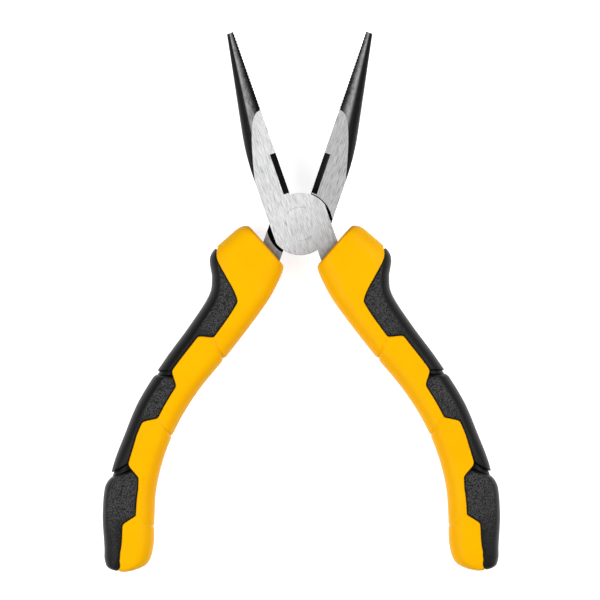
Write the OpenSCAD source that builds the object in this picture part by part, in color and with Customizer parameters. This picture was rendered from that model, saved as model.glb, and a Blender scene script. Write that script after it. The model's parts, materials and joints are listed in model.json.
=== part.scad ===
// Needle nose pliers: two identical forgings lapped on a flush rivet, each with a two-material grip.
// One half is drawn closed, with the rivet axis on Z, the gripping plane at x = 0 and the lap plane at
// z = 0: its jaw points to +Y at x < 0 and its tang to -Y at x > 0. The other half is the same one turned
// over about Y. The finished tool lies flat with its jaws open, and its origin is the rivet's back face.

/* [Overall] */
// Rivet axis to the tip of the jaws
jaw_len = 55; // [48:0.5:65]
// Rivet axis to the end of the grips
handle_len = 105; // [96:0.5:120]
// Angle between the two gripping faces as drawn
open_angle = 38; // [0:1:44]

/* [Joint] */
// Thickness of the joint between its ground faces
joint_t = 9.5; // [8.5:0.1:11]
// Diameter of the round boss of each half
boss_d = 16.8; // [16:0.1:19]
// Width of one jaw at its root, which is also where the tang's outer side lies
root_w = 7.9; // [7:0.1:8.2]
// Gap between a boss and the shoulder under the other half's jaw
jaw_shoulder_gap = 0.3; // [0.2:0.05:0.6]
// Gap between a boss and the shoulder over the other half's tang
tang_shoulder_gap = 0.8; // [0.5:0.05:1.2]
// Gap between the two lapped faces
lap_gap = 0.06; // [0.02:0.01:0.1]
// Diameter of the rivet's shank
rivet_d = 6; // [5:0.1:7]
// Diameter of the rivet's flush heads
rivet_head_d = 9; // [8.5:0.1:11]
// Depth of the rivet's countersunk heads
rivet_head_h = 1.6; // [1.2:0.1:2.2]
// Running clearance of the rivet in the half that turns on it
rivet_clearance = 0.04; // [0.02:0.01:0.08]
// Clearance of the rivet in the half that holds it
rivet_seat_clearance = 0.01; // [0.01:0.005:0.02]

/* [Jaws] */
// Width of one jaw at its tip
tip_w = 1.9; // [1.4:0.1:2.6]
// Growth of one jaw's width towards the rivet, mm per mm
jaw_taper = 0.184; // [0.16:0.002:0.2]
// Radius that blends the tapered nose into the parallel root
knee_r = 70; // [40:5:80]
// Rivet axis to the end of the ground flats, where the nose turns into a half cone
ground_len = 32.5; // [30:0.5:36]
// Gap between the two gripping faces when the jaws are shut
jaw_gap = 0.04; // [0.02:0.01:0.1]
// Pitch of the cross serrations
tooth_pitch = 0.9; // [0.8:0.1:1.6]
// Depth of the cross serrations
tooth_depth = 0.2; // [0.15:0.05:0.5]
// Length of the serrated part of the jaw, from the tip
teeth_len = 24; // [16:0.5:28]
// Rivet axis to the lower end of the side cutter
cutter_from = 8.9; // [8.7:0.1:9.5]
// Length of the side cutter
cutter_len = 11.4; // [8:0.1:14]
// Depth of the side cutter's relief, from the gripping plane
cutter_w = 1.65; // [1.2:0.05:2]
// Half height of the side cutter's blade at its root
cutter_root_h = 1.2; // [0.8:0.1:2]

/* [Tangs] */
// Width of a tang where it leaves the joint
tang_w = 5.8; // [5:0.1:6.2]
// Width of a tang at its end inside the grip
tang_end_w = 4.2; // [3.5:0.1:5]
// Thickness of a tang inside the grip
tang_t = 5.5; // [4.5:0.1:6.5]
// Clearance between a tang and its sleeve
tang_clearance = 0.1; // [0.05:0.01:0.2]

/* [Grips] */
// Thickness of a grip
grip_t = 15; // [14:0.1:17]
// Rivet axis to the top of a grip's head
grip_top = 4.3; // [4:0.1:5]
// Outer edge of a grip at the top of its head, from the gripping plane
apex_x = 14.1; // [13.5:0.1:15]
// Outer edge of a grip at the shoulder of its head
head_x = 20.25; // [19:0.05:21.5]
// Outer edge of a grip at the waist below its head
waist_x = 17.2; // [16:0.1:18]
// Outer edge of a grip at its belly
belly_x = 26.7; // [25:0.1:28]
// Outer edge of a grip at its heel
heel_x = 21; // [20:0.1:22]
// Inner edge of a grip at its head
head_in = 0.4; // [0.3:0.1:1]
// Inner edge of a grip at its waist
waist_in = 3.85; // [3:0.05:4.4]
// Inner edge of a grip at its belly
belly_in = 14.6; // [13.8:0.1:15.2]
// Inner edge of a grip at its heel
heel_in = 9.6; // [8.6:0.1:10.4]
// Thickness of the soft pads
pad_t = 2; // [1.5:0.1:2.4]
// Depth of the necks between the pads
neck_depth = 0.55; // [0.4:0.05:0.8]
// Fall of the middle pad towards the neck below it
lip_drop = 0.65; // [0.2:0.05:0.8]
// Depth of the grooves between the scales of a sleeve
groove_depth = 0.6; // [0.3:0.1:0.9]
// Clearance between the pads and their pockets
pad_clearance = 0.05; // [0.03:0.01:0.1]

/* [Hidden] */
$fn = 96;

steel = "silver";
bright_steel = "gainsboro";
yellow = "gold";
black = [0.2, 0.2, 0.2];

boss_r = boss_d / 2;
half_t = joint_t / 2;
jaw_shoulder_r = boss_r + jaw_shoulder_gap;
tang_shoulder_r = boss_r + tang_shoulder_gap;
cut_past = 1;

// Half width of the nose cone at a distance from the rivet, its height to width ratio and its rounded section
function cone_w(v) = tip_w + jaw_taper * (jaw_len - v);
cone_flatness = half_t / cone_w(ground_len);
nose_roundness = 2.5;
nose_steps = 48;
nose_section = [
    for (i = [0 : nose_steps])
        let (a = 180 * i / nose_steps)
        cone_w(0) * [
            -pow(sin(a), 2 / nose_roundness),
            cone_flatness * sign(cos(a)) * pow(abs(cos(a)), 2 / nose_roundness)
        ]
];

// Blend between the tapered side of the nose and the parallel side of the root
taper_angle = atan(jaw_taper);
knee_v = jaw_len - (root_w - tip_w) / jaw_taper;
knee_steps = 8;
knee = [
    for (i = [0 : knee_steps])
        let (a = taper_angle * i / knee_steps)
        [knee_r * (1 - cos(a)) - root_w, knee_v - knee_r * tan(taper_angle / 2) + knee_r * sin(a)]
];

// Serrations of a gripping face
tooth_count = floor(teeth_len / tooth_pitch);
serrations = [
    for (i = [0 : tooth_count - 1])
        let (v = jaw_len - (i + 1) * tooth_pitch)
        each [[-jaw_gap / 2, v + tooth_pitch], [-jaw_gap / 2 - tooth_depth, v + tooth_pitch / 2]]
];

// Plan of a grip. Stations are counted down the grip, each from a point of the inner edge to a point of
// the outer edge, and a share of 0 to 1 runs across. Heights are shares of the length below the grip's top.
function mix(a, b, f) = a + (b - a) * f;
function down(f) = -(grip_top + f * (handle_len - grip_top));
head_corner = 0.15;
belly_swell = 0.6;
heel_turn_in = 4.1;
heel_turn_out = 1.5;
inner_edge = [
    [head_in + head_corner, down(0.0785)],
    [head_in, down(0.098)],
    [mix(head_in, waist_in, 0.07), down(0.127)],
    [mix(head_in, waist_in, 0.32), down(0.178)],
    [waist_in, down(0.256)],
    [mix(waist_in, belly_in, 0.314), down(0.354)],
    [mix(waist_in, belly_in, 0.697), down(0.463)],
    [mix(waist_in, belly_in, 0.922), down(0.561)],
    [belly_in, down(0.657)],
    [mix(belly_in, heel_in, 0.146), down(0.751)],
    [mix(belly_in, heel_in, 0.56), down(0.83)],
    [heel_in, down(0.901)],
    [heel_in, down(0.954)],
    [heel_in + heel_turn_in, down(0.993)]
];
outer_edge = [
    [apex_x, down(0)],
    [mix(apex_x, head_x, 0.488), down(0.0467)],
    [head_x, down(0.114)],
    [mix(head_x, waist_x, 0.764), down(0.172)],
    [waist_x, down(0.22)],
    [mix(waist_x, belly_x, 0.241), down(0.312)],
    [mix(waist_x, belly_x, 0.609), down(0.4235)],
    [mix(waist_x, belly_x, 0.919), down(0.5466)],
    [belly_x, down(0.6555)],
    [belly_x + belly_swell, down(0.776)],
    [mix(belly_x, heel_x, 0.223), down(0.863)],
    [mix(belly_x, heel_x, 0.81), down(0.947)],
    [heel_x, down(0.977)],
    [heel_x - heel_turn_out, down(1)]
];
last = len(inner_edge) - 1;

// Smooth curve through a list of points
function at(p, i) = i < 0 ? 2 * p[0] - p[1] : i > last ? 2 * p[last] - p[last - 1] : p[i];
function curve(p, t) =
    let (i = min(floor(t), last - 1), f = t - i)
    let (a = at(p, i - 1), b = at(p, i), c = at(p, i + 1), d = at(p, i + 2))
    b + 0.5 * f * (c - a + f * (2 * a - 5 * b + 4 * c - d + f * (3 * b - a - 3 * c + d)));

// Middle, half width and half thickness of a grip at a station, and the direction across it
function middle(t) = (curve(inner_edge, t) + curve(outer_edge, t)) / 2;
function across(t) =
    let (d = curve(outer_edge, t) - curve(inner_edge, t))
    d / norm(d);
function half_w(t) = norm(curve(outer_edge, t) - curve(inner_edge, t)) / 2;
end_rounding = [[0, 0.9], [0.5, 1], [11.5, 1], [12.4, 0.93], [13, 0.75]];
function half_h(t) = grip_t / 2 * lookup(t, end_rounding);

// A point at a distance x across a station and a height z
function place(t, x, z) =
    let (p = middle(t) + across(t) * x)
    [p[0], p[1], z];

// Rounded section of a grip: a superellipse with its top and bottom cut flat
roundness = 3;
flat_cut = 0.97;
function section_x(a) = sign(sin(a)) * pow(abs(sin(a)), 2 / roundness);
function section_z(a) = min(pow(max(cos(a), 0), 2 / roundness), flat_cut) / flat_cut;
function section_angle(x) = sign(x) * asin(pow(min(abs(x), 1), roundness / 2));

// Seam between sleeve and pads: station, and share across the grip
seam = [
    [1.6, 0.985], [2, 0.905], [2.8, 0.72], [3.57, 0.445], [4.86, 0.445], [5.06, 0.718], [6.07, 0.722],
    [6.27, 0.452], [7.18, 0.44], [7.42, 0.72], [7.8, 0.73], [8.53, 0.668], [8.78, 0.38], [9.1, 0.338],
    [9.98, 0.345], [10.27, 0.598], [11.3, 0.657], [12, 0.632], [13, 0.45]
];
function seam_x(t) = (2 * lookup(t, seam) - 1) * half_w(t);
seam_draft = 0.3;

// Pads: first station, start of the neck below, last station
pads = [[1.7, 6.07, 6.2], [6.2, 8.57, 8.75], [8.75, 13, 13]];
pocket_start = 1.6;
function pocket_depth(t) = lookup(t, [[pocket_start, 0], [pads[0][0], pad_t + pad_clearance]]);

// How far a pad falls below the grip's full size: at its rounded start, towards its lip and in the neck
neck_ramp = 0.04;
lip_run = 0.57;
middle_start = 0.1;
lower_start = [[0, 1], [0.1, 0.5], [0.25, 0.1], [0.35, 0]];
lower_fall = lip_drop + neck_depth;
pad_falls = [
    [[pads[0][0], 0], [pads[0][1], 0], [pads[0][1] + neck_ramp, neck_depth]],
    [
        [pads[1][0], neck_depth],
        [pads[1][0] + middle_start, 0],
        [pads[1][1] - lip_run, 0],
        [pads[1][1], lip_drop],
        [pads[1][1] + neck_ramp, lower_fall]
    ],
    [for (s = lower_start) [pads[2][0] + s[0], s[1] * lower_fall]]
];

// The necks slant: towards the outer edge they lie further down the grip
neck_slant = 0.2;
slant_run = 0.55;
slant_from = 0.76;
slants = [
    for (p = [pads[0], pads[1]])
        each [[p[1] - slant_run, 0], [p[1], neck_slant], [p[2], neck_slant], [p[2] + slant_run, 0]]
];
function slide(t, x) =
    let (share = (x / half_w(t) + 1) / 2)
    t + lookup(t, slants) * max(0, share - slant_from) / (1 - slant_from);

// Point of a surface at a depth below the grip's full size, at an angle round the section
function depth_point(t, depth, a, side) =
    let (u = slide(t, (half_w(t) - depth) * section_x(a)))
    place(u, (half_w(u) - depth) * section_x(a), side * (half_h(u) - depth) * section_z(a));

// Grooves between the scales of a sleeve: station at the inner edge, then station and share at the seam
grooves = [[5.13, 4.86, 0.445], [7.49, 7.18, 0.44], [10.31, 9.98, 0.345]];
groove_reach = 0.1;
function groove_at(t, share) =
    groove_depth * max([
        for (g = grooves)
            max(0, 1 - abs(t - mix(g[0], g[1], min(share / g[2], 1))) / groove_reach)
    ]);

// Stations of the sleeve and pads: an even walk that stops at every feature
walk_step = 0.4;
groove_step = 0.09;
groove_stops = [for (g = grooves) for (k = [-1 : 5]) g[1] + k * groove_step];
stops = concat(
    [for (s = seam) s[0]],
    [for (fall = pad_falls) each [for (f = fall) f[0]]],
    [for (p = pads) p[2]],
    groove_stops
);
tiny = 0.01;
function next_stop(t) = min(concat([min(t + walk_step, last)], [for (s = stops) if (s > t + tiny) s]));
function walk(t) = t > last - tiny ? [last] : concat([t], walk(next_stop(t)));
stations = walk(0);

// Ring of the sleeve's outside at a station: pocket, scales from seam to seam round the inner edge, pocket
scale_steps = 8;
shell_steps = 5;
function scale_point(t, a, side) =
    let (s = section_x(a), keep = 1 - groove_at(t, (s + 1) / 2) / half_h(t))
    place(t, half_w(t) * s * mix(1, keep, pow(min(s, 0), 2)), side * half_h(t) * section_z(a) * keep);
function pocket_angle(t) = section_angle((seam_x(t) + seam_draft) / (half_w(t) - pocket_depth(t)));
function scale_angle(t) = section_angle(seam_x(t) / half_w(t));
function sleeve_ring(t) =
    let (depth = pocket_depth(t), from = pocket_angle(t), to = scale_angle(t))
    concat(
        [for (i = [0 : shell_steps]) depth_point(t, depth, mix(90, from, i / shell_steps), 1)],
        [for (i = [0 : scale_steps]) scale_point(t, mix(to, -90, i / scale_steps), 1)],
        [for (i = [scale_steps - 1 : -1 : 0]) scale_point(t, mix(to, -90, i / scale_steps), -1)],
        [for (i = [shell_steps : -1 : 1]) depth_point(t, depth, mix(90, from, i / shell_steps), -1)]
    );

// Tang inside a grip: stations, with its middle as a share of the grip's half width, its half width and its
// half thickness. It starts inside the boss, at a height for each of its sides.
tang_in = root_w - tang_w;
tang_root_out = -1.5;
tang_root_in = -6;
mouth_left = (tang_in - middle(0)[0]) / across(0)[0];
mouth_right = (root_w - middle(0)[0]) / across(0)[0];
tang_stations = [0, 1, 2, 3, 4, 5, 6, 7, 8, 9, 10, 10.8];
tang_last = tang_stations[len(tang_stations) - 1];
mouth_share = (mouth_left + mouth_right) / 2 / half_w(0);
tang_middles = [[0, mouth_share], [1, -0.39], [2, -0.4], [3, -0.29], [4, -0.12], [5, 0]];
tang_half_ws = [[0, (mouth_right - mouth_left) / 2], [1, tang_w / 2], [tang_last, tang_end_w / 2]];
tang_half_ts = [[1, half_t], [3, tang_t / 2]];
function tang_corners(t, gap) =
    let (m = lookup(t, tang_middles) * half_w(t))
    let (w = lookup(t, tang_half_ws) + gap, h = lookup(t, tang_half_ts) + gap)
    [[m + w, h], [m - w, h], [m - w, -h], [m + w, -h]];
function tang_ring(t) = [for (c = tang_corners(t, 0)) place(t, c[0], c[1])];

// Ring of the hole in a sleeve, with as many points as the ring outside it and a point on each corner
ring_size = 2 * (shell_steps + scale_steps) + 2;
side_steps = ring_size / 4;
first_corner = round(side_steps / 2);
function hole_ring(t) =
    let (corners = tang_corners(t, tang_clearance))
    [
        for (i = [0 : ring_size - 1])
            let (s = ((i - first_corner + ring_size) % ring_size) / side_steps, k = floor(s))
            let (c = mix(corners[k], corners[(k + 1) % 4], s - k))
            place(t, c[0], c[1])
    ];

// Ring of a pad at a station: its outside, then its inside
function pad_ring(pad, t) =
    let (w = half_w(t), r = lookup(t, pad_falls[pad]))
    let (from = section_angle((seam_x(t) + pad_clearance + seam_draft * r / pad_t) / (w - r)))
    let (floor_from = section_angle((seam_x(t) + seam_draft + pad_clearance) / (w - pad_t)))
    concat(
        [for (i = [0 : 2 * shell_steps]) shell_point(t, r, from, i)],
        [for (i = [2 * shell_steps : -1 : 0]) shell_point(t, pad_t, floor_from, i)]
    );
function shell_point(t, depth, from, i) =
    let (a = mix(from, 90, 1 - abs(1 - i / shell_steps)), side = i > shell_steps ? 1 : -1)
    depth_point(t, depth, a, side);

// Faces of a loft through rings of n points each: its walls, whose diagonals change hands from a point of
// the ring on, and a fan on a ring about a middle point
function walls(first, rings, n, other_hand) = [
    for (r = [0 : rings - 2])
        for (i = [0 : n - 1])
            let (a = first + r * n + i, b = first + r * n + (i + 1) % n)
            each i < other_hand ? [[a, b + n, b], [a, a + n, b + n]] : [[a, a + n, b], [b, a + n, b + n]]
];
function fan(first, n, hub) = [for (i = [0 : n - 1]) [first + i, first + (i + 1) % n, hub]];
function flip(faces) = [for (f = faces) [f[2], f[1], f[0]]];
function centre(ring) = [for (k = [0 : 2]) [for (p = ring) p[k]] * [for (p = ring) 1] / len(ring)];

// Grip sleeve in the closed half's frame
module sleeve() {
    outside = [for (t = stations) sleeve_ring(t)];
    hole = [for (t = tang_stations) hole_ring(t)];
    n = ring_size;
    inner = len(outside) * n;
    heel_hub = inner + len(hole) * n;
    mouth = [
        for (i = [0 : n - 1])
            let (j = (i + 1) % n)
            each [[i, j, inner + i], [j, inner + j, inner + i]]
    ];
    polyhedron(
        points = concat(
            [for (ring = outside) each ring],
            [for (ring = hole) each ring],
            [centre(outside[len(outside) - 1]), centre(hole[len(hole) - 1])]
        ),
        faces = concat(
            walls(0, len(outside), n, n),
            flip(fan(inner - n, n, heel_hub)),
            flip(walls(inner, len(hole), n, n)),
            fan(heel_hub - n, n, heel_hub + 1),
            mouth
        )
    );
}

// Soft pad in the closed half's frame
module pad(index) {
    from = pads[index][0];
    to = pads[index][2];
    rings = [for (t = stations) if (t > from - tiny && t < to + tiny) pad_ring(index, t)];
    n = 4 * shell_steps + 2;
    end = (len(rings) - 1) * n;
    strip = [
        for (i = [0 : n / 2 - 2])
            let (j = n - 1 - i)
            each [[i, i + 1, j - 1], [i, j - 1, j]]
    ];
    polyhedron(
        points = [for (ring = rings) each ring],
        faces = concat(
            walls(0, len(rings), n, n / 2 - 1),
            strip,
            flip([for (f = strip) f + [end, end, end]])
        )
    );
}

// Tang from inside the boss to its end in the grip
module tang() {
    root = [
        [root_w, tang_root_out, half_t],
        [tang_in, tang_root_in, half_t],
        [tang_in, tang_root_in, -half_t],
        [root_w, tang_root_out, -half_t]
    ];
    rings = concat([root], [for (t = tang_stations) tang_ring(t)]);
    end = (len(rings) - 1) * 4;
    polyhedron(
        points = [for (ring = rings) each ring],
        faces = concat(
            walls(0, len(rings), 4, 4),
            [[0, 1, 2], [0, 2, 3]],
            [[end, end + 2, end + 1], [end, end + 3, end + 2]]
        )
    );
}

// Jaw: the plan of the nose and root, cut to a flattened half cone where it is not ground flat
module jaw() {
    intersection() {
        translate([0, 0, -half_t])
            linear_extrude(joint_t)
                polygon(concat(
                    [[-jaw_gap / 2, 0]],
                    [[-jaw_gap / 2, jaw_len - tooth_count * tooth_pitch]],
                    [for (i = [len(serrations) - 1 : -1 : 0]) serrations[i]],
                    [[-tip_w, jaw_len]],
                    [for (i = [knee_steps : -1 : 0]) knee[i]],
                    [[-root_w, 0]]
                ));
        rotate([-90, 0, 0])
            linear_extrude(jaw_len, scale = cone_w(jaw_len) / cone_w(0))
                polygon(nose_section);
    }
}

// Relief of the side cutter on one face of a jaw
module cutter_relief() {
    translate([0, cutter_from + cutter_len, 0])
        rotate([90, 0, 0])
            linear_extrude(cutter_len)
                polygon([
                    [-jaw_gap / 2, 0],
                    [cut_past, 0],
                    [cut_past, joint_t],
                    [-cutter_w, joint_t],
                    [-cutter_w, cutter_root_h]
                ]);
}

// Room for the other half's boss below the lap plane
module lap_room() {
    translate([0, 0, -joint_t]) {
        linear_extrude(joint_t + lap_gap / 2) {
            intersection() {
                circle(jaw_shoulder_r);
                translate([-2 * boss_d, 0])
                    square([4 * boss_d, 2 * boss_d]);
            }
            intersection() {
                circle(tang_shoulder_r);
                translate([-2 * boss_d, -2 * boss_d])
                    square([4 * boss_d, 2 * boss_d]);
            }
        }
    }
}

// Rivet, or the hole for it with a clearance all round
module rivet(gap) {
    cylinder(h = joint_t + 2 * gap, r = rivet_d / 2 + gap, center = true);
    for (side = [0, 180])
        rotate([side, 0, 0])
            translate([0, 0, half_t - rivet_head_h])
                cylinder(h = rivet_head_h, r1 = rivet_d / 2 + gap, r2 = rivet_head_d / 2 + gap);
}

// One forging, closed: jaw, half-thickness boss and tang
module half(gap) {
    difference() {
        union() {
            jaw();
            tang();
            linear_extrude(half_t)
                intersection() {
                    circle(boss_r);
                    square([2 * root_w, boss_d], center = true);
                }
        }
        lap_room();
        rivet(gap);
        cutter_relief();
        mirror([0, 0, 1])
            cutter_relief();
    }
}

// Places of the two halves, with what each carries
module front() {
    translate([0, 0, half_t])
        rotate([0, 0, open_angle / 2])
            children();
}
module rear() {
    translate([0, 0, half_t])
        rotate([0, 0, -open_angle / 2])
            rotate([0, 180, 0])
                children();
}

module front_half() {
    color(steel)
        front() half(rivet_seat_clearance);
}
module rear_half() {
    color(steel)
        rear() half(rivet_clearance);
}
module pivot_rivet() {
    color(bright_steel)
        front() rivet(0);
}
module right_grip_sleeve() {
    color(yellow)
        front() sleeve();
}
module right_pad(index) {
    color(black)
        front() pad(index);
}
module left_grip_sleeve() {
    color(yellow)
        rear() sleeve();
}
module left_pad(index) {
    color(black)
        rear() pad(index);
}

front_half();
rear_half();
pivot_rivet();
right_grip_sleeve();
right_pad(0);  // right_upper_pad
right_pad(1);  // right_middle_pad
right_pad(2);  // right_lower_pad
left_grip_sleeve();
left_pad(0);  // left_upper_pad
left_pad(1);  // left_middle_pad
left_pad(2);  // left_lower_pad
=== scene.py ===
import json
import math

import bmesh
import bpy
import numpy as np
from bpy.props import FloatProperty, FloatVectorProperty, PointerProperty
from mathutils import Matrix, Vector
from mathutils.kdtree import KDTree

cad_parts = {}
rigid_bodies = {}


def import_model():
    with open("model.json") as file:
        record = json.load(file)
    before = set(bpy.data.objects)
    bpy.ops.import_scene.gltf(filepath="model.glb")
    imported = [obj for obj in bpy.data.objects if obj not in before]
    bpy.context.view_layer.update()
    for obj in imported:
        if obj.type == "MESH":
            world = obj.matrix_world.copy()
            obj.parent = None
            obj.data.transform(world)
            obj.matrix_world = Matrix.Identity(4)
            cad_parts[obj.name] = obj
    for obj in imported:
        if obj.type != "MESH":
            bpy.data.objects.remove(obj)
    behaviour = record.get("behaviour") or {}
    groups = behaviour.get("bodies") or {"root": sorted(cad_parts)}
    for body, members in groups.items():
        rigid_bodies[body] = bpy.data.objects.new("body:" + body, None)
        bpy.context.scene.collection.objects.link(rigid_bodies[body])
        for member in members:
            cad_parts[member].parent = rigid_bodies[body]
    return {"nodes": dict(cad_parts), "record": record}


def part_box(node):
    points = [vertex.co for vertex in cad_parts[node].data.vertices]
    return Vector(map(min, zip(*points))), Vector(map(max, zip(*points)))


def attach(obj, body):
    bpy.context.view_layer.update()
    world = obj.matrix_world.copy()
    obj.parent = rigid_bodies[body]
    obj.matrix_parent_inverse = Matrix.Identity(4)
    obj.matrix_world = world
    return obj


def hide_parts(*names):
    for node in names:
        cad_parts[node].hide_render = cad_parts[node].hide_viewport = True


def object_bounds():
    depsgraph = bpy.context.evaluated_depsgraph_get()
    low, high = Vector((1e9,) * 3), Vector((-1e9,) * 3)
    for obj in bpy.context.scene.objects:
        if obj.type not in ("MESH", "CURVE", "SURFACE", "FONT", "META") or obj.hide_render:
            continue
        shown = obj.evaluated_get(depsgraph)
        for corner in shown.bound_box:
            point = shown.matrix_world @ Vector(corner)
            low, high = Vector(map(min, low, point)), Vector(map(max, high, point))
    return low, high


bl_info = {
    "name": "Needle Nose Pliers",
    "version": (1, 0, 0),
    "blender": (4, 5, 0),
    "location": "View3D > Sidebar > Pliers",
    "description": "Dresses riveted long nose pliers with ground steel, black oxide and two-material grips",
    "category": "Object",
}

for startup_object in list(bpy.data.objects):
    bpy.data.objects.remove(startup_object)
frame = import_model()
CAD_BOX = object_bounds()

MM = 0.001
JOINT_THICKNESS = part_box("pivot_rivet")[1].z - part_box("pivot_rivet")[0].z
GRIP_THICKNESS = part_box("right_grip_sleeve")[1].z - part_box("right_grip_sleeve")[0].z
OPEN_HALF_ANGLE = math.radians(frame["record"]["behaviour"]["joints"][0]["range_deg"][1] / 2)

# Each half carries one grip. A half is drawn closed: rivet at the origin, jaws to +Y, gripping plane at
# x = 0, jaw at x < 0 and grip at x > 0, in millimetres. The rear half is the front one turned over.
FRONT_PLACE = Matrix.Translation((0, 0, JOINT_THICKNESS / 2)) @ Matrix.Rotation(OPEN_HALF_ANGLE, 4, "Z")
REAR_PLACE = (
    Matrix.Translation((0, 0, JOINT_THICKNESS / 2))
    @ Matrix.Rotation(-OPEN_HALF_ANGLE, 4, "Z")
    @ Matrix.Rotation(math.pi, 4, "Y")
)
SIDES = (("right", "front", FRONT_PLACE), ("left", "rear", REAR_PLACE))

# Nose of a jaw: its length, its half width at the tip, and how fast it widens towards the rivet
JAW_LENGTH, JAW_TIP, JAW_TAPER = 55.0, 1.9, 0.184

# Plan of a grip: where its inner and outer edge lie at its head, waist, belly and heel
GRIP_TOP, HANDLE_LEN = 4.3, 105.0
APEX_X, HEAD_X, WAIST_X, BELLY_X, HEEL_X = 14.1, 20.25, 17.2, 26.7, 21.0
HEAD_IN, WAIST_IN, BELLY_IN, HEEL_IN = 0.4, 3.85, 14.6, 9.6
HEAD_CORNER, BELLY_SWELL, HEEL_TURN_IN, HEEL_TURN_OUT = 0.15, 0.6, 4.1, 1.5
LAST_STATION = 13.0

# Rounding of a grip's head at its mouth, and of its heel
HEAD_OUTER, HEAD_INNER, HEAD_HEIGHT = 2.0, 0.8, 1.1
HEEL_ROUNDING, HEEL_DROP, HEEL_REACH = 1.3, 1.6, 9.0

# Rounding of the edges of sleeve and pad where the seam runs out at the end of the heel
HEEL_NOTCH = 0.4

# Section of a grip: a superellipse with its top and bottom cut flat
SECTION_POWER = 3.0
FLAT_CUT = 0.97
CREASE = (1 - FLAT_CUT ** SECTION_POWER) ** (1 / SECTION_POWER)
SLEEVE_CREASE_SOFTNESS, PAD_CREASE_SOFTNESS = 0.03, 0.012

# Seam between the yellow sleeve and the black pads: station, and share of the way across the grip
SEAM = (
    (1.6, 0.985), (2, 0.905), (2.8, 0.72), (3.57, 0.445), (4.86, 0.445), (5.06, 0.718), (6.07, 0.722),
    (6.27, 0.452), (7.18, 0.44), (7.42, 0.72), (7.8, 0.73), (8.53, 0.668), (8.78, 0.38), (9.1, 0.338),
    (9.98, 0.345), (10.27, 0.598), (11.3, 0.657), (12, 0.632), (13, 0.45),
)
SEAM_SMOOTHING = 0.09
SEAM_DRAFT = 0.05
PAD_GAP = 0.05
POCKET_START, POCKET_FULL = 1.6, 1.7

# Pads: name, first station, start of the neck below, last station, and the stations over which the start
# of the pad swells to its full width and to its full height
PADS = (
    ("upper_pad", 1.7, 6.045, 6.13, 0.1, 0.1),
    ("middle_pad", 6.13, 8.49, 8.63, 0.12, 0.06),
    ("lower_pad", 8.63, 13.0, 13.0, 0.53, 0.08),
)

# Stations over which the middle pad's lip falls, width of the wall at the start of a neck, and the share of
# a neck's depth that is left on the grip's side
LIP_RUN, NECK_WALL, NECK_SIDE = 0.57, 0.5, 0.65

# Depth of the crease where a neck meets the next pad, and how far up the neck it begins
FOOT_DEPTH, FOOT_RUN = 0.35, 0.35

# The necks slant: stations by which the start and the end of each lie further down at the outer edge,
# stations over which the pads next to it follow, and the share of the way across where the slant begins
NECK_SLANTS = ((0.22, 0.22), (0.38, 0.34))
SLANT_RUN, SLANT_FROM = 0.7, 0.56
SLANTS = tuple(
    row for (neck, last), (above, below) in zip((pad[2:4] for pad in PADS), NECK_SLANTS)
    for row in ((neck - SLANT_RUN, 0), (neck, above), (last, below), (last + SLANT_RUN, 0)))

# Grooves between the scales of a sleeve: station at the inner edge, station and share at the seam, and share
# of the full depth. The last line is the share of its depth that a groove keeps at the seam.
GROOVES = ((5.13, 4.86, 0.445, 1.0), (7.49, 7.18, 0.44, 0.85), (10.31, 9.98, 0.345, 0.6))
GROOVE_AT_SEAM = 0.75

# Tang inside a grip: its width at the root, below it and at the end, its thickness and clearance, the
# stations of the hole round it, and its middle at some of them as a share of the grip's half width
ROOT_W, TANG_W, TANG_END_W, TANG_T, TANG_GAP = 7.9, 5.8, 4.2, 5.5, 0.1
TANG_STATIONS = (0, 1, 2, 3, 4, 5, 6, 7, 8, 9, 10, 10.8)
TANG_MIDDLES = ((1, -0.39), (2, -0.4), (3, -0.29), (4, -0.12), (5, 0))

# Samples with which curves are measured, rows are spaced, the seam is searched and its corners are rounded
RUN_SAMPLES, ROW_SAMPLES, SEAM_SAMPLES, CORNER_SAMPLES = 1301, 4001, 6000, 21
ROW_SPREAD = 2


class PliersSteelSettings(bpy.types.PropertyGroup):
    """Sizes and colours of the two forged halves and the rivet"""

    edge_round: FloatProperty(
        name="Edge Rounding", description="Width of the broken edges of the forgings",
        default=0.0001, unit="LENGTH", precision=5)
    rivet_edge: FloatProperty(
        name="Rivet Edge", description="Width of the broken edge round the flush rivet",
        default=0.00005, unit="LENGTH", precision=6)
    ground_colour: FloatVectorProperty(
        name="Ground Steel", description="Colour of the ground joint and jaw flats",
        default=(0.55, 0.55, 0.555, 1.0), size=4, subtype="COLOR", min=0, max=1)
    oxide_colour: FloatVectorProperty(
        name="Black Oxide", description="Colour of the black oxide coat",
        default=(0.005, 0.005, 0.0055, 1.0), size=4, subtype="COLOR", min=0, max=1)
    # Painted highlight: the grey painted along the crown of the nose in place of the lamps' reflection
    painted_highlight_colour: FloatVectorProperty(
        name="Burnish", description="Colour of the oxide where the crown of the nose is burnished",
        default=(0.4, 0.4, 0.405, 1.0), size=4, subtype="COLOR", min=0, max=1)
    scratch_length: FloatProperty(
        name="Scratch Length", description="Length of the grinding scratches",
        default=0.0026, unit="LENGTH", precision=5)
    scratch_width: FloatProperty(
        name="Scratch Width", description="Width of the grinding scratches",
        default=0.00014, unit="LENGTH", precision=5)


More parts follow.
